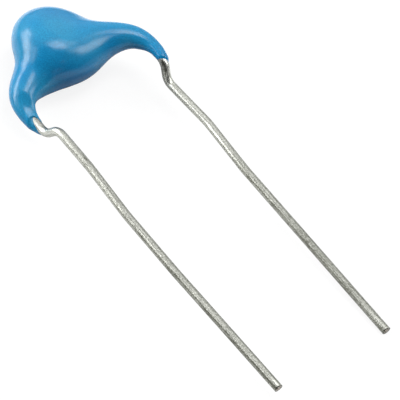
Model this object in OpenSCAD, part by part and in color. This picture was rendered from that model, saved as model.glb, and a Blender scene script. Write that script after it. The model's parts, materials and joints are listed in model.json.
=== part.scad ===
// Radial ceramic disc capacitor: crimped leads and a dipped epoxy coat.
// Millimetres. X runs across the leads, +Y from their cut tips towards the disc, +Z up.
// The part lies on its back face, as it comes to rest on a table.

/* [Leads] */
// Distance between the two leads at their tips
lead_spacing = 9.5; // [9:0.1:10]
// Diameter of the tinned wire
wire_d = 0.6; // [0.5:0.05:0.65]
// Length of a lead below its crimp
lead_len = 23.2; // [16:0.1:30]
// Where the crimp starts, below the middle of the coat
crimp_y = 5.3; // [5.2:0.1:6.5]
// Offset of each lead from the middle plane above its crimp
crimp_offset = 1.2; // [1:0.05:1.3]
// Length of lead over which the crimp crosses to the middle plane
crimp_run = 0.8; // [0.7:0.05:1.5]
// Radius of the crimp bends, to the middle of the wire
crimp_bend = 0.95; // [0.6:0.05:1.05]
// Radius of the shoulder bend inside the coat, to the middle of the wire
shoulder_bend = 1.1; // [0.8:0.05:1.3]
// Sideways set that forming and packing leave in each lead
lead_set = 0.25; // [0.05:0.05:0.4]
// Sideways drift of the back lead through its crimp, towards the front lead
back_drift = 0.1; // [0:0.02:0.16]

/* [Disc] */
// Diameter of the fired ceramic
disc_d = 5.2; // [4.6:0.1:5.4]
// Thickness of the fired ceramic
disc_t = 1.6; // [1.2:0.1:1.7]
// Diameter of the silver on each face
electrode_d = 4.6; // [3.8:0.1:4.6]
// Thickness of the silver
electrode_t = 0.02; // [0.01:0.01:0.04]
// Diameter of the solder on each electrode
solder_d = 2.8; // [2.2:0.1:3]
// Height of the solder over its electrode
solder_h = 0.75; // [0.7:0.05:0.8]
// Turn of the disc about the length of the leads, in degrees
disc_yaw = 15; // [0:1:18]
// Lean of the disc towards the lead tips, in degrees
disc_lean = -8; // [-10:1:0]
// Shift of the disc towards the back lead
disc_shift = 0.3; // [0.1:0.05:0.35]

/* [Coat] */
// Radius of the coat round the disc
coat_r = 3.1; // [3:0.05:3.4]
// Half the thickness of the coat at the disc, before its crown
coat_half = 1.5; // [1.4:0.05:1.7]
// Crown of the coat over the middle of each face
coat_crown = 0.3; // [0.1:0.05:0.4]
// Radius of the coat where its front arm springs from the disc
front_root_r = 1.45; // [1.2:0.05:1.6]
// Radius of the coat where its back arm springs from the disc
back_root_r = 1.7; // [1.4:0.05:1.8]
// Width of the fillets that surface tension draws between disc and leads
coat_soft = 0.45; // [0.4:0.05:0.6]
// Thickness of the epoxy film on each lead where the coat ends
film_t = 0.05; // [0.04:0.01:0.1]
// Height of the bare stretch on the upper side of the back lead
bare_rise = 1.3; // [0.8:0.1:1.6]

/* [Hidden] */
$fn = 32;

wire_r = wire_d / 2;
lead_x = lead_spacing / 2;
crimp_end_y = -crimp_y - crimp_run;
tip_y = crimp_end_y - lead_len;
back_foot_x = -lead_x + back_drift;       // the back lead below its crimp
solder_film = 0.03;                       // solder between a wire and the silver
silver_z = disc_t / 2 + electrode_t;      // outer face of the silver, from the disc's middle
wire_z = silver_z + solder_film + wire_r;

// The film ends two thirds of the way into the crimp's first bend, and its end follows the wire.
bend_room = crimp_bend * tan(atan(crimp_offset / crimp_run) / 2);
into_bend = bend_room * 2 / 3;
coat_end_y = -crimp_y + bend_room - into_bend;
coat_end_z = crimp_offset - crimp_bend + sqrt(pow(crimp_bend, 2) - pow(into_bend, 2));

// --- Small vector helpers ---
function unit(v) = v / norm(v);
function turn(a, b, c) = acos(min(1, unit(b - a) * unit(c - b)));
function mix(a, b, t) = a + (b - a) * t;

// --- The disc's own frame: turned and shifted between the leads ---
function rot_x(a) = [[1, 0, 0], [0, cos(a), -sin(a)], [0, sin(a), cos(a)]];
function rot_y(a) = [[cos(a), 0, sin(a)], [0, 1, 0], [-sin(a), 0, cos(a)]];
disc_turn = rot_x(disc_lean) * rot_y(disc_yaw);
disc_at = [0, 0, -disc_shift];
function on_disc(p) = disc_turn * p + disc_at;
function to_disc(p) = (p - disc_at) * disc_turn;

module in_disc_frame() translate(disc_at) rotate([disc_lean, 0, 0]) rotate([0, disc_yaw, 0]) children();

// --- Skins: rings of points, each with the same number of sides, closed at both ends ---
module loft(pts, sides) {
    last = len(pts) - sides;
    polyhedron(pts, concat(
        [[for (j = [sides - 1 : -1 : 0]) j]],
        [for (i = [0 : sides : last - 1], j = [0 : sides - 1])
            let (a = i + j, b = i + (j + 1) % sides) each [[a, b, a + sides], [b, b + sides, a + sides]]],
        [[for (j = [0 : sides - 1]) last + j]]));
}

// --- Bent wire: a tube along corner points that are rounded to the given radii ---
wire_sides = 20;
bend_step = 12;
tube_r = 1.001 * wire_r / cos(180 / wire_sides);    // the tube's flats stay just outside the true wire
function setback(a, b, c, r) = r * tan(turn(a, b, c) / 2);
function rounded(a, b, c, r) =
    let (u = unit(b - a), v = unit(c - b), angle = turn(a, b, c), inward = unit(v - u * (u * v)),
         start = b - u * setback(a, b, c, r), steps = ceil(angle / bend_step))
    [for (k = [0 : steps]) let (t = angle * k / steps) start + u * r * sin(t) + inward * r * (1 - cos(t))];
function wire_path(pts, radii) = concat([pts[0]],
    [for (i = [1 : len(pts) - 2]) each rounded(pts[i - 1], pts[i], pts[i + 1], radii[i - 1])]);

// Each ring's first side is carried along the path with no twist.
function ways(path) = [for (i = [0 : len(path) - 1])
    unit(path[min(i + 1, len(path) - 1)] - path[max(i - 1, 0)])];
function carried(way, side, i) =
    i == len(way) ? []
    : let (s = unit(side - way[i] * (side * way[i]))) concat([s], carried(way, s, i + 1));
function tube_skin(path, r) =
    let (way = ways(path), first = carried(way, [0, 0, 1], 0))
    [for (i = [0 : len(path) - 1], j = [0 : wire_sides - 1])
        let (t = 360 * j / wire_sides)
        path[i] + r * (first[i] * cos(t) + cross(first[i], way[i]) * sin(t))];

// The last straight stretch is a true cylinder, because the tip is a pin that others fit on.
module bent_wire(pts, radii) {
    path = wire_path(pts, radii);
    tip = pts[len(pts) - 1];
    seat = path[len(path) - 1];
    way = unit(tip - seat);
    loft(tube_skin(concat(path, [seat + way * wire_r]), tube_r), wire_sides);
    translate(seat) rotate([-acos(way[2]), 0, -atan2(way[0], way[1])])
        cylinder(d = wire_d, h = norm(tip - seat));
}

// A lead runs over the disc's face, turns down at its shoulder, crimps to the middle plane and
// goes on to its cut tip, with a slight set on the way. side is 1 for the front lead, -1 for the back.
front_shoulder = [lead_x, -0.76 * coat_r, crimp_offset - wire_r / 2];
back_shoulder = [-lead_x, -0.61 * coat_r, -crimp_offset];
function set_point(x, share) = [x, crimp_end_y - share * lead_len, 0];
front_foot = [set_point(lead_x, 0), set_point(lead_x + lead_set, 0.18),
              set_point(lead_x, 0.36), set_point(lead_x, 1)];
back_foot = [set_point(back_foot_x, 0), set_point(back_foot_x, 0.15),
             set_point(back_foot_x - lead_set, 0.33), set_point(back_foot_x - lead_set, 0.55),
             set_point(back_foot_x, 1)];
run_bend = 4 * wire_r;
set_bend = 20 * wire_r;
function lead_points(side, shoulder, foot) = concat(
    [on_disc([-side * 0.24 * electrode_d, 0.11 * electrode_d, side * wire_z]),
     on_disc([side * 0.35 * disc_d, -0.07 * disc_d, side * wire_z]),
     shoulder, [side * lead_x, -crimp_y, side * crimp_offset]], foot);
function lead_bends(foot) =
    concat([run_bend, shoulder_bend, crimp_bend, crimp_bend], [for (i = [2 : len(foot) - 1]) set_bend]);

module lead(side)
    if (side > 0) bent_wire(lead_points(side, front_shoulder, front_foot), lead_bends(front_foot));
    else bent_wire(lead_points(side, back_shoulder, back_foot), lead_bends(back_foot));

// --- Coat: one smooth skin round the disc and a tapering arm down each lead ---
// Each arm is a row of beads along a conic from its root, past its shoulder, to the coat's end.
bead_count = 12;
shoulder_pull = 1.7;
function conic(a, b, c, t) =
    ((1 - t) * (1 - t) * a + 2 * shoulder_pull * t * (1 - t) * b + t * t * c)
    / ((1 - t) * (1 - t) + 2 * shoulder_pull * t * (1 - t) + t * t);
function arm_points(root, shoulder, end) =
    [for (i = [0 : bead_count - 1]) conic(root, shoulder, end, i / (bead_count - 1))];
function arm_radii(root_r) =
    [for (i = [0 : bead_count - 1]) mix(wire_r + film_t, root_r, pow(1 - i / (bead_count - 1), 2))];

// Weight of each bead that makes the row read as a tube of the beads' own radius.
function bead_weights(pts, radii) = [for (i = [0 : len(pts) - 1])
    norm(pts[min(i + 1, len(pts) - 1)] - pts[max(i - 1, 0)]) / (i == 0 || i == len(pts) - 1 ? 1 : 2)
    / sqrt(2 * PI * radii[i] * coat_soft)];

front_arm = arm_points(coat_r * [0.27, -0.34, -0.02], front_shoulder + coat_r * [0.16, 0.145, 0.015],
                       [lead_x, coat_end_y, coat_end_z]);
back_arm = arm_points(coat_r * [-0.29, -0.27, -0.29], back_shoulder + coat_r * [-0.26, 0.08, 0.11],
                      [-lead_x, coat_end_y, -coat_end_z]);
bead_at = concat(front_arm, back_arm);
bead_r = concat(arm_radii(front_root_r), arm_radii(back_root_r));
bead_w = concat(bead_weights(front_arm, arm_radii(front_root_r)),
                bead_weights(back_arm, arm_radii(back_root_r)));

// Distance to the disc's share of the coat: a crowned disc with a round rim.
function disc_distance(q) =
    let (r = norm([q[0], q[1]]),
         half = coat_half + coat_crown * max(0, 1 - pow(r / coat_r, 2)),
         a = r - (coat_r - coat_half), b = abs(q[2]) - (half - coat_half))
    norm([max(a, 0), max(b, 0)]) + min(max(a, b), 0) - coat_half;

// Smooth union of the disc and the beads: below zero inside the coat.
function coat_field(p) = -coat_soft * ln(
    exp(-disc_distance(to_disc(p)) / coat_soft)
    + [for (i = [0 : len(bead_at) - 1]) exp((bead_r[i] - norm(p - bead_at[i])) / coat_soft)] * bead_w);

// Walks from inside the coat out to its skin.
function reach(p, way, n) = n == 0 ? p : reach(p - way * coat_field(p), way, n - 1);

// Sections of the coat fan round an axis between its legs, each centred on a high arch.
sections = 60;
rays = 44;
arch_power = 2.5;
function arch(a) = pow(pow(abs(cos(a)) / lead_x, arch_power)
                     + pow(abs(sin(a)) / -coat_end_y, arch_power), -1 / arch_power);
function section(a) =
    let (out = [cos(a), sin(a), 0], mid = [0, coat_end_y, coat_end_z * cos(a)] + out * arch(a))
    [for (j = [0 : rays - 1])
        reach(mid, out * cos(360 * j / rays) + [0, 0, 1] * sin(360 * j / rays), 16)];
skin = [for (i = [0 : sections]) each section(180 * i / sections)];

module coat_form() loft(skin, rays);

// --- Rest: the back of the coat and the tip of the front lead touch the table ---
rest_roll = 3.94;
rolled = [for (p = skin) rot_y(rest_roll) * p];
tip_low = rot_y(rest_roll) * [lead_x, tip_y, 0] - [0, 0, wire_r];
rest_lean = atan(max([for (q = rolled) (tip_low[2] - q[2]) / (q[1] - tip_low[1])]));
lying = [for (q = rolled) rot_x(rest_lean) * q];
tip_ends = [for (x = [back_foot_x, lead_x], rim = [-wire_r, wire_r])
    rot_x(rest_lean) * (rot_y(rest_roll) * [x, tip_y, 0] + [0, 0, rim])];
function middle(v) = (min(v) + max(v)) / 2;
rest_at = -[for (k = [0, 1]) middle([for (q = concat(lying, tip_ends)) q[k]]), min([for (q = lying) q[2]])];

module at_rest() translate(rest_at) rotate([rest_lean, 0, 0]) rotate([0, rest_roll, 0]) children();

// --- Pieces ---
module face(side) in_disc_frame() mirror([0, 0, side < 0 ? 1 : 0]) children();

module ceramic_disc() color("tan") at_rest() face(1) translate([0, 0, -disc_t / 2])
    cylinder(d = disc_d, h = disc_t);

module electrode(side) color("silver") at_rest() face(side) translate([0, 0, disc_t / 2])
    cylinder(d = electrode_d, h = electrode_t);
module front_electrode() electrode(1);
module back_electrode() electrode(-1);

module front_lead() color("gainsboro") at_rest() lead(1);
module back_lead() color("gainsboro") at_rest() lead(-1);

// A low cap of solder that the end of the wire lies in. sink carries its flat side into the silver.
solder_ball_r = (pow(solder_d / 2, 2) + pow(solder_h, 2)) / (2 * solder_h);
module solder_cap(side, sink = 0) face(side) translate([0, 0, silver_z]) intersection() {
    translate([0, 0, solder_h - solder_ball_r]) sphere(r = solder_ball_r, $fn = 64);
    translate([0, 0, -sink]) cylinder(d = 2 * solder_d, h = 2 * solder_h);
}
module solder(side) color("darkgray") at_rest() difference() {
    solder_cap(side);
    lead(side);
}
module front_solder() solder(1);
module back_solder() solder(-1);

// The coat fills every gap round what was dipped.
module dipped() {
    face(1) {
        translate([0, 0, -disc_t / 2]) cylinder(d = disc_d, h = disc_t);
        translate([0, 0, -silver_z]) cylinder(d = electrode_d, h = 2 * silver_z);
    }
    for (side = [-1, 1]) {
        solder_cap(side, sink = electrode_t / 2);
        lead(side);
    }
}

// The epoxy drew back from the upper side of the back lead before it set.
bare_slope = atan(bare_rise / (2 * (wire_r + film_t)));
bare_turn = -8;
bare_block = 10 * wire_r;
module bare_stretch() translate([-lead_x, coat_end_y + bare_rise / 2, -crimp_offset])
    rotate([0, bare_turn, 0]) rotate([90 - bare_slope, 0, 0])
        translate([-bare_block / 2, -bare_block / 2, 0]) cube(bare_block);

module epoxy_coat() color("steelblue") at_rest() difference() {
    coat_form();
    dipped();
    bare_stretch();
}

epoxy_coat();
ceramic_disc();
front_electrode();
back_electrode();
front_solder();
back_solder();
front_lead();
back_lead();
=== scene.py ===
import json
import math

import bpy
import numpy as np
from mathutils import Matrix, Vector, noise


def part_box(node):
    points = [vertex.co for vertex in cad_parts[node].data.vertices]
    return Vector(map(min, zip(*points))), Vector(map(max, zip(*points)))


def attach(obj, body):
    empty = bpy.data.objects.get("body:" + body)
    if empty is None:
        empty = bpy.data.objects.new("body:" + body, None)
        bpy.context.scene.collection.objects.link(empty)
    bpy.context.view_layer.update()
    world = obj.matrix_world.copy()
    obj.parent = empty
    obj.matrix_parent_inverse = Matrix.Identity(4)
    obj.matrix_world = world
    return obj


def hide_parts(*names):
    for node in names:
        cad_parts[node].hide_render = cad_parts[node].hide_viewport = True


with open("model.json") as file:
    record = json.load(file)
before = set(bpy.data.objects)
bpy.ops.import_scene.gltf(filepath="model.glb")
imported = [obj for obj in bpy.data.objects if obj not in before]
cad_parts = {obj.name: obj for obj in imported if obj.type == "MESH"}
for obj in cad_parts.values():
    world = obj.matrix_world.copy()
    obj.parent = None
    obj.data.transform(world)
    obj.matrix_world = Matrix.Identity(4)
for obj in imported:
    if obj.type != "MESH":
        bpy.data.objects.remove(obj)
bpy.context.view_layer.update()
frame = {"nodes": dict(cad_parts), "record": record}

# A dipped ceramic disc capacitor on a white table.
# Pieces are drawn in millimetres with the leads along Y, and then laid down as the part rests.
mm = 0.001
# It lies on its back: it leans as its front pin does, and rolls onto the coat.
stand = {"roll": 3.94, "discShift": 0.3}
mounts = {mount["name"]: mount for mount in frame["record"]["mounts"]}
lean = math.asin(-mounts["front_lead_tip"]["axis"][2])
restTurn = Matrix.Rotation(lean, 3, "X") @ Matrix.Rotation(math.radians(stand["roll"]), 3, "Y")
discLow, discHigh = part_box("ceramic_disc")
restAt = (discLow + discHigh) / 2 / mm + restTurn @ Vector((0, 0, stand["discShift"]))


def laidDown(points):
    return (points @ np.array(restTurn).T + np.array(restAt)) * mm


def unit(vector):
    return vector / np.linalg.norm(vector)


def makePiece(name, points, faces, material, node):
    mesh = bpy.data.meshes.new(name)
    mesh.from_pydata([tuple(p) for p in laidDown(points)], [], faces)
    mesh.validate()
    mesh.shade_smooth()
    mesh.materials.append(material)
    piece = bpy.data.objects.new(name, mesh)
    bpy.context.scene.collection.objects.link(piece)
    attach(piece, "root")
    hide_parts(node)
    return piece


# Faces of a skin made of rings that all have the same number of points, closed at both ends
def ringFaces(ringCount, sides):
    faces = [list(range(sides - 1, -1, -1))]
    for i in range(ringCount - 1):
        for j in range(sides):
            a, b = i * sides + j, i * sides + (j + 1) % sides
            faces.append([a, b, b + sides, a + sides])
    faces.append([(ringCount - 1) * sides + j for j in range(sides)])
    return faces


# --- materials ---
def newMaterial(name):
    material = bpy.data.materials.new(name)
    material.use_nodes = True
    tree = material.node_tree
    return material, tree, tree.nodes["Principled BSDF"]


def addNode(tree, kind, inputs=None, **settings):
    node = tree.nodes.new(kind)
    for key, value in settings.items():
        setattr(node, key, value)
    for key, value in (inputs or {}).items():
        node.inputs[key].default_value = value
    return node


# A colour is three numbers or another node's output
def mixColour(tree, mask, low, high):
    mix = addNode(tree, "ShaderNodeMix", data_type="RGBA")
    for key, colour in (("A", low), ("B", high)):
        if isinstance(colour, tuple):
            mix.inputs[key].default_value = (*colour, 1)
        else:
            tree.links.new(colour, mix.inputs[key])
    tree.links.new(mask, mix.inputs["Factor"])
    return mix.outputs["Result"]


def mapRange(tree, value, low, high, toLow, toHigh):
    node = addNode(tree, "ShaderNodeMapRange",
                   {"From Min": low, "From Max": high, "To Min": toLow, "To Max": toHigh})
    tree.links.new(value, node.inputs["Value"])
    return node.outputs["Result"]


def addMath(tree, operation, first, second):
    node = addNode(tree, "ShaderNodeMath", operation=operation)
    tree.links.new(first, node.inputs[0])
    tree.links.new(second, node.inputs[1])
    return node.outputs[0]


def addNoise(tree, where, scale, detail, roughness):
    node = addNode(tree, "ShaderNodeTexNoise", {"Scale": scale, "Detail": detail, "Roughness": roughness})
    tree.links.new(where, node.inputs["Vector"])
    return node.outputs["Fac"]


# Noise hardly leaves the first range. The second one gives a pattern more contrast.
noiseRange = (0.3, 0.7)
patternRange = (0.35, 0.65)


# Fine pitting that cast, fired and cured surfaces share. Its mask is the broader of its two noises.
broadShare = 0.22


def makePitting():
    group = bpy.data.node_groups.new("pitting", "ShaderNodeTree")
    group.interface.new_socket("Scale", in_out="INPUT", socket_type="NodeSocketFloat")
    group.interface.new_socket("Mask", in_out="OUTPUT", socket_type="NodeSocketFloat")
    group.interface.new_socket("Height", in_out="OUTPUT", socket_type="NodeSocketFloat")
    start = group.nodes.new("NodeGroupInput")
    end = group.nodes.new("NodeGroupOutput")
    place = group.nodes.new("ShaderNodeTexCoord")
    fine = addNode(group, "ShaderNodeTexNoise", {"Detail": 4.0, "Roughness": 0.6})
    broad = addNode(group, "ShaderNodeTexNoise", {"Detail": 2.0, "Roughness": 0.5})
    share = addNode(group, "ShaderNodeMath", {1: broadShare}, operation="MULTIPLY")
    group.links.new(start.outputs["Scale"], fine.inputs["Scale"])
    group.links.new(start.outputs["Scale"], share.inputs[0])
    group.links.new(share.outputs[0], broad.inputs["Scale"])
    group.links.new(place.outputs["Object"], fine.inputs["Vector"])
    group.links.new(place.outputs["Object"], broad.inputs["Vector"])
    group.links.new(broad.outputs["Fac"], end.inputs["Mask"])
    group.links.new(addMath(group, "ADD", fine.outputs["Fac"], broad.outputs["Fac"]), end.inputs["Height"])
    return group


pitting = makePitting()


def addPitting(tree, scale):
    node = addNode(tree, "ShaderNodeGroup", node_tree=pitting)
    node.inputs["Scale"].default_value = scale
    return node


def addBump(tree, height, distance, shader):
    bump = addNode(tree, "ShaderNodeBump", {"Strength": 1.0, "Distance": distance})
    tree.links.new(height, bump.inputs["Height"])
    tree.links.new(bump.outputs["Normal"], shader.inputs["Normal"])


epoxyLook = {"light": (0.014, 0.198, 0.360), "deep": (0.004, 0.162, 0.348), "gloss": (0.18, 0.25),
             "ior": 1.5, "specular": 0.32, "waves": 1300.0, "waveHeight": 0.000006,
             "grain": 13000.0, "grainShare": 0.24}


def makeEpoxy():
    material, tree, shader = newMaterial("blueEpoxy")
    marks = addPitting(tree, epoxyLook["waves"])
    tone = mapRange(tree, marks.outputs["Mask"], *patternRange, 0, 1)
    where = addNode(tree, "ShaderNodeTexCoord").outputs["Object"]
    grain = mapRange(tree, addNoise(tree, where, epoxyLook["grain"], 2.0, 0.7), *noiseRange, 0, 1)
    share = epoxyLook["grainShare"]
    speckled = addNode(tree, "ShaderNodeMix", data_type="RGBA", blend_type="MULTIPLY")
    speckled.inputs["Factor"].default_value = 1.0
    tree.links.new(mixColour(tree, tone, epoxyLook["deep"], epoxyLook["light"]), speckled.inputs["A"])
    tree.links.new(mixColour(tree, grain, (1 - share,) * 3, (1 + share,) * 3), speckled.inputs["B"])
    tree.links.new(speckled.outputs["Result"], shader.inputs["Base Color"])
    tree.links.new(mapRange(tree, marks.outputs["Mask"], *noiseRange, *epoxyLook["gloss"]),
                   shader.inputs["Roughness"])
    shader.inputs["IOR"].default_value = epoxyLook["ior"]
    shader.inputs["Specular IOR Level"].default_value = epoxyLook["specular"]
    addBump(tree, marks.outputs["Height"], epoxyLook["waveHeight"], shader)
    return material


tinLook = {"dark": (0.098, 0.10, 0.082), "bright": (0.735, 0.745, 0.69), "gloss": (0.42, 0.34),
           "glossRange": (0.3, 0.9), "lines": 0.36, "lineScale": 3.2, "lineHeight": 0.000008,
           "grain": 0.44, "grainScale": 11000.0, "cut": ((0.03, 0.02, 0.016), (0.40, 0.31, 0.26)),
           "cutRange": (0.4, 0.6)}


# Drawn lines run along the wire. Each point of a lead carries its place on the wire, how bright the tin is
# there, which is painted reflection, highlight and shade, and how far it belongs to the cut end.
def makeTin():
    material, tree, shader = newMaterial("drawnTin")
    place, paintedLight, cut = (addNode(tree, "ShaderNodeAttribute", attribute_name=name)
                         for name in ("wirePlace", "paintedLight", "cut"))
    where = addNode(tree, "ShaderNodeTexCoord").outputs["Object"]
    lines = addNoise(tree, place.outputs["Vector"], tinLook["lineScale"], 3.0, 0.6)
    grain = addNoise(tree, where, tinLook["grainScale"], 2.0, 0.6)
    # The tin's colour and roughness follow its painted reflections, highlights and shade, broken by lines and
    # grain
    level = paintedLight.outputs["Fac"]
    for marks, share in ((lines, tinLook["lines"]), (grain, tinLook["grain"])):
        level = addMath(tree, "ADD", level, mapRange(tree, marks, *noiseRange, -share / 2, share / 2))
    skin = mixColour(tree, level, tinLook["dark"], tinLook["bright"])
    core = mixColour(tree, mapRange(tree, grain, *tinLook["cutRange"], 0, 1), *tinLook["cut"])
    tree.links.new(mixColour(tree, cut.outputs["Fac"], skin, core), shader.inputs["Base Color"])
    roughness = mapRange(tree, level, *tinLook["glossRange"], *tinLook["gloss"])
    tree.links.new(roughness, shader.inputs["Roughness"])
    shader.inputs["Metallic"].default_value = 1.0
    addBump(tree, lines, tinLook["lineHeight"], shader)
    return material


def makePlain(name, dark, light, roughness, scale, height, metallic=0.0):
    material, tree, shader = newMaterial(name)
    marks = addPitting(tree, scale)
    tone = mapRange(tree, marks.outputs["Mask"], *patternRange, 0, 1)
    tree.links.new(mixColour(tree, tone, dark, light), shader.inputs["Base Color"])
    tree.links.new(mapRange(tree, marks.outputs["Mask"], *noiseRange, *roughness), shader.inputs["Roughness"])
    shader.inputs["Metallic"].default_value = metallic
    addBump(tree, marks.outputs["Height"], height, shader)
    return material


epoxy = makeEpoxy()
tin = makeTin()
ceramic = makePlain("firedCeramic", (0.40, 0.31, 0.21), (0.50, 0.40, 0.28), (0.6, 0.8), 900.0, 0.00002)
silver = makePlain("firedSilver", (0.66, 0.66, 0.63), (0.80, 0.80, 0.78), (0.35, 0.55), 1500.0, 0.00001, 1.0)
solder = makePlain("solder", (0.46, 0.47, 0.48), (0.60, 0.61, 0.62), (0.25, 0.45), 1200.0, 0.00001, 1.0)
print("materials made")

# --- leads ---
leads = {"spacing": 9.5, "wire": 0.6, "length": 23.2, "crimpY": 5.3, "crimpOffset": 1.2, "crimpRun": 0.8,
         "crimpBend": 0.95, "shoulderBend": 1.1, "runBend": 1.2, "setBend": 6.0, "set": 0.25,
         "drift": 0.1, "bendStep": 3.0, "sides": 64, "step": 0.1, "dent": 0.004, "dentPitch": 0.9}
disc = {"diameter": 5.2, "thickness": 1.6, "silver": 0.02, "silverDiameter": 4.6, "solderFilm": 0.03,
        "yaw": 15.0, "lean": -8.0}
coatRadius = 3.1
wireR = leads["wire"] / 2
leadX = leads["spacing"] / 2
crimpEndY = -leads["crimpY"] - leads["crimpRun"]
discTurn = np.array(Matrix.Rotation(math.radians(disc["lean"]), 3, "X")
                    @ Matrix.Rotation(math.radians(disc["yaw"]), 3, "Y"))
discAt = np.array([0, 0, -stand["discShift"]])
wireZ = disc["thickness"] / 2 + disc["silver"] + disc["solderFilm"] + wireR
frontShoulder = np.array([leadX, -0.76 * coatRadius, leads["crimpOffset"] - wireR / 2])
backShoulder = np.array([-leadX, -0.61 * coatRadius, -leads["crimpOffset"]])


def onDisc(x, y, z):
    return discTurn @ np.array([x, y, z]) + discAt


# The wire runs over its electrode and off the disc's edge to the shoulder, the crimp and the pin. "foot" says
# how far each corner below the crimp is set sideways, and its share of the lead's length.
def leadCorners(side, shoulder, footX, foot):
    wide, tall = disc["silverDiameter"], disc["diameter"]
    start = [onDisc(-side * 0.24 * wide, 0.11 * wide, side * wireZ),
             onDisc(side * 0.35 * tall, -0.07 * tall, side * wireZ),
             shoulder, (side * leadX, -leads["crimpY"], side * leads["crimpOffset"])]
    below = [(footX + across, crimpEndY - share * leads["length"], 0) for across, share in foot]
    return [np.array(p, float) for p in start + below]


frontCorners = leadCorners(1, frontShoulder, leadX, [(0, 0), (leads["set"], 0.18), (0, 0.36), (0, 1)])
backCorners = leadCorners(-1, backShoulder, -leadX + leads["drift"],
                          [(0, 0), (0, 0.15), (-leads["set"], 0.33), (-leads["set"], 0.55), (0, 1)])


# Corner points become one smooth path: straight runs and round bends
def bentPath(corners):
    radii = [leads["runBend"], leads["shoulderBend"], leads["crimpBend"], leads["crimpBend"]]
    radii += [leads["setBend"]] * (len(corners) - 6)
    path = [corners[0]]
    for a, b, c, r in zip(corners, corners[1:], corners[2:], radii):
        u, v = unit(b - a), unit(c - b)
        angle = math.acos(min(1, u @ v))
        inward = unit(v - u * (u @ v))
        start = b - u * r * math.tan(angle / 2)
        steps = max(2, math.ceil(math.degrees(angle) / leads["bendStep"]))
        for k in range(steps + 1):
            t = angle * k / steps
            path.append(start + u * r * math.sin(t) + inward * r * (1 - math.cos(t)))
    path.append(corners[-1])
    full = [path[0]]
    for p in path[1:]:
        gap = np.linalg.norm(p - full[-1])
        parts = max(1, math.ceil(gap / leads["step"]))
        begin = full[-1]
        full += [begin + (p - begin) * k / parts for k in range(1, parts + 1)]
    return np.array(full)


# The cutter leaves a rolled edge, a slanted face and a small step across it, and squeezes the wire a little.
# Its rings round off the edge first, and from the share "face" on they close the face.
tip = {"roll": 0.10, "rollRate": 1.6, "slant": 0.10, "step": 0.035, "stepRate": 30, "rings": 7, "face": 0.63,
       "stepRamp": (0.4, 3), "squeeze": 0.05, "squeezeRun": 0.35, "short": 0.014, "cut": 0.75,
       "cutRamp": (0.5, 4)}
# Scales of the pattern round and along a wire, and how far the two wires' patterns lie apart
wireMap = {"round": 1.6, "along": 0.08, "apart": 7.0}


def ramp(value, start, rate):
    return min(1, max(0, value - start) * rate)


# How bright the tin is painted round and along a wire: painted reflections and highlights, and painted shade.
# The tin is painted darker towards the tips and in dark bands round the wire, and dark marks stand for dark
# reflections and for the shade in small nicks. A band is (angle, width, gains at a few shares of the length),
# and a mark is (share of the length, angle, half length, width, gain). Angles in degrees, 0 is up.
shineShares = (0, 0.35, 0.7, 1)
paintedLightBase = (0.47, 0.34, 0.26, 0.24)
paintedDarkEdge = (-105, 22, (-0.1, -0.1, -0.15, -0.15))
paintedLightBands = {"front": [(-50, 13, (0.5, 0, 0, 0)), (-36, 10, (0, 0, 0.05, 0.15)),
                        (-62, 16, (0, -0.2, -0.18, -0.18)), paintedDarkEdge],
              "back": [(-34, 11, (0.18, 0.14, 0.29, 0.2)), (-2, 16, (-0.2, 0, 0, 0)),
                       (-62, 15, (-0.12, -0.22, -0.19, -0.2)), paintedDarkEdge]}
paintedLightMarks = {"front": [(-0.023, -53, 0.34, 16, -2.2), (-0.02, 0, 0.5, 25, 0.5), (0.03, -50, 0.6, 13, 0.25),
                        (0.26, -16, 1.3, 8, 0.25), (0.295, 5, 0.10, 8, -0.3), (0.40, -80, 0.30, 14, -0.45),
                        (0.504, -80, 0.30, 14, -0.4), (0.56, 0, 0.15, 9, -0.3), (0.65, -70, 0.5, 14, -0.2),
                        (0.836, -10, 0.35, 12, -0.2), (0.955, -25, 0.8, 10, 0.35),
                        (0.988, -78, 0.16, 16, -0.7)],
              "back": [(-0.02, -34, 1.3, 55, 0.3), (0.125, -8, 0.28, 10, -0.3), (0.29, 0, 0.7, 14, -0.15),
                       (0.414, -66, 0.40, 12, -0.4), (0.543, -80, 0.35, 12, -0.4),
                       (0.707, -76, 0.32, 11, -0.35), (0.819, -80, 0.28, 11, -0.3),
                       (0.985, -15, 0.30, 12, 0.45), (0.989, -72, 0.16, 16, -0.7)]}


# Paints reflections, highlights and shade into the tin's brightness at each point, from the bands and marks
# above
def paintedTinLight(which, points, centres):
    out = points - centres
    angle = np.degrees(np.arctan2(out[:, 0], out[:, 2]))
    share = (crimpEndY - points[:, 1]) / leads["length"]
    paintedLight = np.interp(share, shineShares, paintedLightBase)

    def angleFrom(at):
        return (angle - at + 180) % 360 - 180

    for at, width, gains in paintedLightBands[which]:
        paintedLight += np.interp(share, shineShares, gains) * np.exp(-(angleFrom(at) / width) ** 2)
    for place, at, long, width, gain in paintedLightMarks[which]:
        along = (share - place) * leads["length"] / long
        paintedLight += gain * np.exp(-(angleFrom(at) / width) ** 2 - along ** 2)
    return np.clip(paintedLight, 0, 1)


def addAttribute(piece, name, values):
    kind, key = ("FLOAT_VECTOR", "vector") if np.ndim(values) > 1 else ("FLOAT", "value")
    data = piece.data.attributes.new(name, kind, "POINT").data
    data.foreach_set(key, np.array(values, np.float32).ravel())


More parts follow.
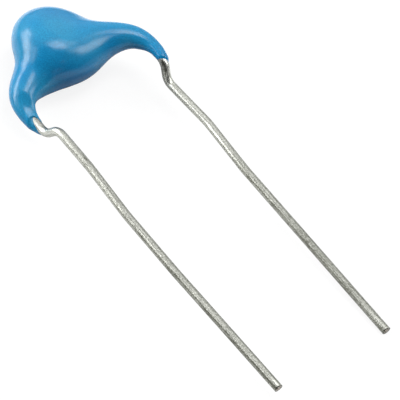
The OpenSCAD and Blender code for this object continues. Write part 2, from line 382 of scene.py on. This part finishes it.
def makeLead(which, corners):
    seed = 0.0 if which == "front" else wireMap["apart"]
    path = bentPath(corners)
    ways = np.gradient(path, axis=0)
    ways /= np.linalg.norm(ways, axis=1)[:, None]
    along = np.concatenate([[0], np.cumsum(np.linalg.norm(np.diff(path, axis=0), axis=1))])
    turns = np.linspace(0, 2 * math.pi, leads["sides"], endpoint=False)
    first = np.array([0.0, 0.0, 1.0])
    rings, middles, places, cuts = [], [], [], []

    def addPoint(middle, turn, r, out, distance, cut):
        rings.append(middle + out + r * (first * math.cos(turn) + second * math.sin(turn)))
        middles.append(middle)
        places.append((math.cos(turn) * wireMap["round"] + seed, math.sin(turn) * wireMap["round"],
                       distance * wireMap["along"]))
        cuts.append(cut)

    for p, way, distance in zip(path, ways, along):
        first = unit(first - way * (first @ way))
        second = np.cross(first, way)
        squeeze = tip["squeeze"] * math.exp(-((along[-1] - distance) / tip["squeezeRun"]) ** 2)
        for t in turns:
            spot = Vector((math.cos(t) + seed, math.sin(t), distance * leads["dentPitch"]))
            r = (wireR + leads["dent"] * noise.noise(spot)) * (1 - squeeze * math.cos(t) ** 2)
            addPoint(p, t, r, 0, distance, 0.0)
    for k in range(1, tip["rings"]):
        share = k / tip["rings"]
        roll = math.sin(min(1, share * tip["rollRate"]) * math.pi / 2)
        inset = tip["roll"] * (1 - math.sqrt(max(0, 1 - roll ** 2)))
        for t in turns:
            r = (wireR - inset) * (1 - tip["squeeze"] * math.cos(t) ** 2)
            r *= 1 if share < tip["face"] else (1 - share) / (1 - tip["face"])
            across = r * math.cos(t)
            out = tip["roll"] * (roll - 1) - tip["slant"] * across - tip["short"]
            out += tip["step"] * math.tanh(across * tip["stepRate"]) * ramp(share, *tip["stepRamp"])
            cut = ramp(share, *tip["cutRamp"]) * tip["cut"]
            addPoint(path[-1], t, r, ways[-1] * out, along[-1] + share, cut)
    ringCount = len(path) + tip["rings"] - 1
    piece = makePiece(which + "Lead", np.array(rings), ringFaces(ringCount, leads["sides"]), tin,
                      which + "_lead")
    addAttribute(piece, "wirePlace", places)
    addAttribute(piece, "cut", cuts)
    # Each point's painted reflection, highlight and shade on the tin
    addAttribute(piece, "paintedLight", paintedTinLight(which, np.array(rings), np.array(middles)))
    return path


frontPath = makeLead("front", frontCorners)
backPath = makeLead("back", backCorners)
print("leads bent")

# --- coat ---
# Its body and arms melt together over "soft". "pull" bends the arms, and "inset" keeps the waves of the skin
# inside the solid. A wave is a height and a pitch, and the skin is calm near the wires.
coat = {"half": 1.5, "crown": 0.3, "frontRoot": 1.45, "backRoot": 1.7, "soft": 0.45, "film": 0.05,
        "pull": 1.7, "beads": 12, "sections": 240, "rays": 112, "archPower": 2.5, "steps": 60, "stride": 0.9,
        "ripple": (0.012, 1.3), "swell": (0.02, 0.45), "inset": 0.022, "calm": (0.2, 1.5)}
bendRoom = leads["crimpBend"] * math.tan(math.atan(leads["crimpOffset"] / leads["crimpRun"]) / 2)
intoBend = bendRoom * 2 / 3
coatEndY = -leads["crimpY"] + bendRoom - intoBend
coatEndZ = leads["crimpOffset"] - leads["crimpBend"] + math.sqrt(leads["crimpBend"] ** 2 - intoBend ** 2)


def armBeads(root, shoulder, end, rootR):
    t = np.linspace(0, 1, coat["beads"])[:, None]
    weights = (1 - t) ** 2, 2 * coat["pull"] * t * (1 - t), t ** 2
    points = (weights[0] * root + weights[1] * shoulder + weights[2] * end) / sum(weights)
    radii = wireR + coat["film"] + (rootR - wireR - coat["film"]) * (1 - t[:, 0]) ** 2
    gaps = np.linalg.norm(np.diff(points, axis=0), axis=1)
    across = np.linalg.norm(points[2:] - points[:-2], axis=1) / 2
    spread = np.concatenate([[gaps[0]], across, [gaps[-1]]])
    return points, radii, spread / np.sqrt(2 * math.pi * radii * coat["soft"])


arms = [armBeads(coatRadius * np.array([0.27, -0.34, -0.02]),
                 frontShoulder + coatRadius * np.array([0.16, 0.145, 0.015]),
                 np.array([leadX, coatEndY, coatEndZ]), coat["frontRoot"]),
        armBeads(coatRadius * np.array([-0.29, -0.27, -0.29]),
                 backShoulder + coatRadius * np.array([-0.28, 0.045, 0.11]),
                 np.array([-leadX, coatEndY, -coatEndZ]), coat["backRoot"])]


# Below zero inside the coat: a smooth union of the crowned disc and the beads down each arm
def coatField(points):
    q = (points - discAt) @ discTurn
    r = np.linalg.norm(q[:, :2], axis=1)
    half = coat["half"] + coat["crown"] * np.maximum(0, 1 - (r / coatRadius) ** 2)
    a, b = r - (coatRadius - coat["half"]), np.abs(q[:, 2]) - (half - coat["half"])
    body = np.hypot(np.maximum(a, 0), np.maximum(b, 0)) + np.minimum(np.maximum(a, b), 0) - coat["half"]
    total = np.exp(-body / coat["soft"])
    for beadAt, beadR, beadW in arms:
        for at, radius, weight in zip(beadAt, beadR, beadW):
            total += weight * np.exp((radius - np.linalg.norm(points - at, axis=1)) / coat["soft"])
    return -coat["soft"] * np.log(total)


# Round each lead: how high the coat's edge lies, how steeply the coat thickens above it, how much of it has
# run off there, and up to what height. Each is a mean, a swing and the angle of its top, where 0 is up and a
# quarter turn is +X. Waves of a size, a number and a turn make the edge ragged. On the back lead it is also
# skewed, and on one side the coat has run off from higher up.
edge = {"front": {"rise": (-0.02, -0.26, 1.0), "steep": (0.45, 0.3, 1.0), "runOff": (0.45, -0.45, 1.0),
                  "runTo": (2.5, 0.65, 1.0)},
        "back": {"rise": (0.55, 0.57, 0.0), "steep": (0.5, 0.3, -0.2), "runOff": (0.22, 0.6, 0.09),
                 "runTo": (2.5, -0.65, 1.0)},
        "ragged": ((0.02, 3, 1.0), (0.012, 7, 2.0)), "backSkew": 0.14, "backRun": (1.5, -0.585),
        "film": 0.03, "soft": 0.025, "flare": 0.25, "runFrom": 0.7, "reach": 24, "low": -0.1, "top": 4}


def coatEdge(side, around):
    front, back = ({key: mean + swing * np.cos(around - top) for key, (mean, swing, top) in rule.items()}
                   for rule in (edge["front"], edge["back"]))
    ragged = sum(size * np.cos(number * around + turn) for size, number, turn in edge["ragged"])
    front["rise"] = front["rise"] + ragged
    back["rise"] = np.maximum(0, back["rise"] - edge["backSkew"] * np.sin(2 * around) + ragged)
    height, top = edge["backRun"]
    back["runTo"] = back["runTo"] + height * np.clip(np.cos(around - top), 0, 1) ** 2
    return [np.where(side > 0, front[key], back[key]) for key in ("rise", "steep", "runOff", "runTo")]


# The wire's middle at each height below both shoulders
def wireCentres(path, heights):
    legY, legX, legZ = path[path[:, 1] < backShoulder[1] - leads["wire"]].T[[1, 0, 2]]
    return np.stack([np.interp(heights, legY[::-1], legX[::-1]), heights,
                     np.interp(heights, legY[::-1], legZ[::-1])], axis=1)


# The walked skin is slimmed near each edge. A cone that opens upwards from the edge then brings it to a film.
def edged(skin, side, lift, drop):
    def centresAt(y):
        return np.where(side[:, None] > 0, wireCentres(frontPath, y), wireCentres(backPath, y))

    out = skin - centresAt(skin[:, 1])
    reach = np.linalg.norm(out, axis=1)
    rise, steep, runOff, runTo = coatEdge(side, np.arctan2(out[:, 0], out[:, 2]))
    high = skin[:, 1] + drop - coatEndY
    fade = np.clip((high - edge["runFrom"]) / (runTo - edge["runFrom"]), 0, 1)
    thick = (reach - wireR) * (1 - runOff * (1 - fade ** 2 * (3 - 2 * fade)))
    cone = edge["film"] + steep * np.maximum(0, high - rise) + edge["flare"] * lift ** 3
    soft = edge["soft"]
    thick = np.minimum(thick, cone) - soft * np.log(1 + np.exp(-np.abs(thick - cone) / soft))
    slim = centresAt(skin[:, 1] + drop) + out / reach[:, None] * (wireR + thick)[:, None]
    return np.where(lift[:, None] < edge["top"], slim, skin)


def skinFrom(starts, ways):
    points = starts.copy()
    for _ in range(coat["steps"]):
        points -= ways * (coatField(points) * coat["stride"])[:, None]
    return points


def makeCoat():
    angles = np.linspace(0, math.pi, coat["sections"] + 1)
    turns = np.linspace(0, 2 * math.pi, coat["rays"], endpoint=False)
    starts, ways, sides, lifts, drops = [], [], [], [], []
    for angle in angles:
        out = np.array([math.cos(angle), math.sin(angle), 0])
        power = coat["archPower"]
        high = (abs(math.cos(angle)) / leadX) ** power + (abs(math.sin(angle)) / -coatEndY) ** power
        middle = np.array([0, coatEndY, coatEndZ * math.cos(angle)]) + out * high ** (-1 / power)
        side = 1 if angle < math.pi / 2 else -1
        near = max(0, 1 - min(angle, math.pi - angle) / math.radians(edge["reach"])) ** 2
        rise = coatEdge(side, np.arctan2(side * np.cos(turns), np.sin(turns)))[0]
        starts += [middle + [0, near * max(r, edge["low"]), 0] for r in rise]
        drops += [near * min(0, r - edge["low"]) for r in rise]
        ways += [out * math.cos(turn) + np.array([0, 0, 1]) * math.sin(turn) for turn in turns]
        sides += [side] * len(turns)
        lifts += [middle[1] - coatEndY] * len(turns)
    starts, ways, sides, lifts, drops = (np.array(rows) for rows in (starts, ways, sides, lifts, drops))
    skin = edged(skinFrom(starts, ways), sides, lifts, drops)
    (swell, swellPitch), (ripple, ripplePitch) = coat["swell"], coat["ripple"]
    wave = [swell * noise.noise(Vector(p * swellPitch)) + ripple * noise.noise(Vector(p * ripplePitch + 9))
            for p in skin]
    calmTo, calmRun = coat["calm"]
    fade = np.clip((skin[:, 1] - coatEndY - calmTo) / calmRun, 0, 1)
    skin += ways * ((np.array(wave) - coat["inset"]) * fade)[:, None]
    rings = list(skin.reshape(len(angles), coat["rays"], 3))
    rings = lipRings(rings[0], frontPath)[::-1] + rings + lipRings(rings[-1], backPath)
    return np.concatenate(rings), ringFaces(len(rings), coat["rays"])


# The coat's last ring turns down onto the wire and ends just under the wire's skin
lip = {"rings": 5, "under": 0.03, "height": 0.5}


def lipRings(last, path):
    centres = wireCentres(path, last[:, 1])
    out = last - centres
    reach = np.linalg.norm(out, axis=1)[:, None]
    sunk = wireR - lip["under"]
    rings = []
    for k in range(1, lip["rings"] + 1):
        bend = math.pi / 2 * k / lip["rings"]
        radius = sunk + (reach - sunk) * math.cos(bend)
        down = (reach - sunk) * lip["height"] * math.sin(bend)
        rings.append(centres + out / reach * radius - np.array([0, 1, 0]) * down)
    return rings


points, faces = makeCoat()
makePiece("epoxyCoat", points, faces, epoxy, "epoxy_coat")
print("coat dipped")

# --- hidden pieces keep their solids and get their own finish ---
finishes = {"ceramic_disc": ceramic, "front_electrode": silver, "back_electrode": silver,
            "front_solder": solder, "back_solder": solder}
for node, finish in finishes.items():
    frame["nodes"][node].data.materials.clear()
    frame["nodes"][node].data.materials.append(finish)

# --- table, light and camera ---
# The camera sees a white table. Mirrored, it is white near the part, shaded under the coat and dark far off.
# Its own glow fills the share that is left of its diffuse white, so that the part's shadow stays faint. To
# diffuse light it has the tint that the coat throws on it.
table = {"half": 0.6, "white": (0.98, 0.98, 0.98), "tint": (0.10, 0.32, 0.43),
         "far": {"at": (0.0014, -0.0011, 0), "edge": (0.038, 0.027), "colour": (0.12, 0.12, 0.12)},
         "shade": {"at": (0.0004, 0.0094, 0), "edge": (0.0026, 0.0044), "colour": (0.45, 0.45, 0.45)},
         "glow": {"Is Camera Ray": 0.87, "Is Glossy Ray": 0.1, "Is Transmission Ray": 0.1},
         "diffuse": (0.85, 0.13)}


# The largest share among the kinds of ray that see something
def rayShare(tree, shares):
    path = addNode(tree, "ShaderNodeLightPath")
    own = [mapRange(tree, path.outputs[ray], 0, 1, 0, share) for ray, share in shares.items()]
    total = own[0]
    for share in own[1:]:
        total = addMath(tree, "MAXIMUM", total, share)
    return total


def makeTable():
    material, tree, shader = newMaterial("whiteTable")
    byCamera = rayShare(tree, {"Is Camera Ray": 1})
    place = addNode(tree, "ShaderNodeTexCoord")
    shown = table["white"]
    for patch in (table["far"], table["shade"]):
        away = addNode(tree, "ShaderNodeVectorMath", {1: patch["at"]}, operation="DISTANCE")
        tree.links.new(place.outputs["Object"], away.inputs[0])
        clear = mapRange(tree, away.outputs["Value"], *patch["edge"], 0, 1)
        shown = mixColour(tree, addMath(tree, "MAXIMUM", clear, byCamera), patch["colour"], shown)
    tree.links.new(shown, shader.inputs["Emission Color"])
    tree.links.new(rayShare(tree, table["glow"]), shader.inputs["Emission Strength"])
    lit = mixColour(tree, mapRange(tree, byCamera, 0, 1, *table["diffuse"]), (0, 0, 0), shown)
    seen = rayShare(tree, {ray: 1 for ray in table["glow"]})
    tree.links.new(mixColour(tree, seen, table["tint"], lit), shader.inputs["Base Color"])
    shader.inputs["Roughness"].default_value = 0.9
    shader.inputs["Specular IOR Level"].default_value = 0.0
    mesh = bpy.data.meshes.new("table")
    h = table["half"]
    mesh.from_pydata([(-h, -h, 0), (h, -h, 0), (h, h, 0), (-h, h, 0)], [], [(0, 1, 2, 3)])
    mesh.materials.append(material)
    floor = bpy.data.objects.new("table", mesh)
    bpy.context.scene.collection.objects.link(floor)


# A pale room behind the part and a dim one round the camera, with soft round windows in it. The camera itself
# sees it white, and mirrors and glass see a little of that white.
# Azimuth 0 is at -Y and 90 at +X. A window is full bright out to its core and fades to its rim.
room = {"white": {"Is Camera Ray": 1, "Is Glossy Ray": 0.04, "Is Transmission Ray": 0.04},
        "pale": 0.78, "dim": 0.03, "towards": (147, 12), "edge": (-0.12, 0.22),
        "windows": [{"at": (-130, 20), "core": 5, "rim": 17, "radiance": 13.0},
                    {"at": (-143, 23), "core": 5, "rim": 15, "radiance": 11.0},
                    {"at": (-158, 29), "core": 5, "rim": 15, "radiance": 10.0},
                    {"at": (-152, 14), "core": 4, "rim": 13, "radiance": 7.0},
                    {"at": (66, 74), "core": 6, "rim": 17, "radiance": 9.0},
                    {"at": (56, 36), "core": 7, "rim": 17, "radiance": 7.0},
                    {"at": (95, 58), "core": 4, "rim": 14, "radiance": 4.2},
                    {"at": (0, 86), "core": 3, "rim": 12, "radiance": 8.5},
                    {"at": (-112, 79), "core": 1, "rim": 8, "radiance": 4.0},
                    {"at": (-110, 39), "core": 3, "rim": 9, "radiance": 5.0},
                    {"at": (-99, 4), "core": 3, "rim": 9, "radiance": 1.6},
                    {"at": (41, 52), "core": 2, "rim": 7, "radiance": 3.5},
                    {"at": (-18, 6), "core": 3, "rim": 11, "radiance": 0.8},
                    {"at": (-8, 33), "core": 1, "rim": 4, "radiance": 2.5}]}


def compass(azimuth, elevation):
    a, e = math.radians(azimuth), math.radians(elevation)
    return Vector((math.sin(a) * math.cos(e), -math.cos(a) * math.cos(e), math.sin(e)))


def makeRoom():
    world = bpy.data.worlds.new("room")
    world.use_nodes = True
    tree = world.node_tree
    back = tree.nodes["Background"]
    back.inputs["Color"].default_value = (1, 1, 1, 1)
    place = addNode(tree, "ShaderNodeTexCoord")

    def glow(at, low, high, toLow, toHigh):
        dot = addNode(tree, "ShaderNodeVectorMath", {1: compass(*at)}, operation="DOT_PRODUCT")
        tree.links.new(place.outputs["Generated"], dot.inputs[0])
        ramp = addNode(tree, "ShaderNodeMapRange", {"From Min": low, "From Max": high,
                       "To Min": toLow, "To Max": toHigh}, interpolation_type="SMOOTHSTEP")
        tree.links.new(dot.outputs["Value"], ramp.inputs["Value"])
        return ramp.outputs["Result"]

    level = glow(room["towards"], *room["edge"], room["dim"], room["pale"])
    for window in room["windows"]:
        rim, core = (math.cos(math.radians(window[key])) for key in ("rim", "core"))
        level = addMath(tree, "MAXIMUM", level, glow(window["at"], rim, core, 0, window["radiance"]))
    shown = addNode(tree, "ShaderNodeMix", data_type="FLOAT")
    shown.inputs["B"].default_value = 1.0
    tree.links.new(rayShare(tree, room["white"]), shown.inputs["Factor"])
    tree.links.new(level, shown.inputs["A"])
    tree.links.new(shown.outputs["Result"], back.inputs["Strength"])
    bpy.context.scene.world = world


view = {"azimuth": -50.66, "elevation": 49.48, "roll": 14.97, "distance": 0.2351, "lens": 322.95,
        "aim": (0.001422, -0.001138, 0.0)}


def makeCamera():
    data = bpy.data.cameras.new("camera")
    data.lens = view["lens"]
    data.sensor_width = 36
    data.clip_start, data.clip_end = 0.01, 10
    camera = bpy.data.objects.new("camera", data)
    bpy.context.scene.collection.objects.link(camera)
    back = compass(view["azimuth"], view["elevation"])
    right = Vector((0, 0, 1)).cross(back).normalized()
    up = back.cross(right)
    roll = math.radians(view["roll"])
    rolled = right * math.cos(roll) + up * math.sin(roll), up * math.cos(roll) - right * math.sin(roll)
    turn = Matrix([*rolled, back]).transposed().to_4x4()
    camera.matrix_world = Matrix.Translation(Vector(view["aim"]) + back * view["distance"]) @ turn
    bpy.context.scene.camera = camera


makeTable()
makeRoom()
makeCamera()
bpy.context.scene.view_settings.view_transform = "Standard"
print("scene lit")
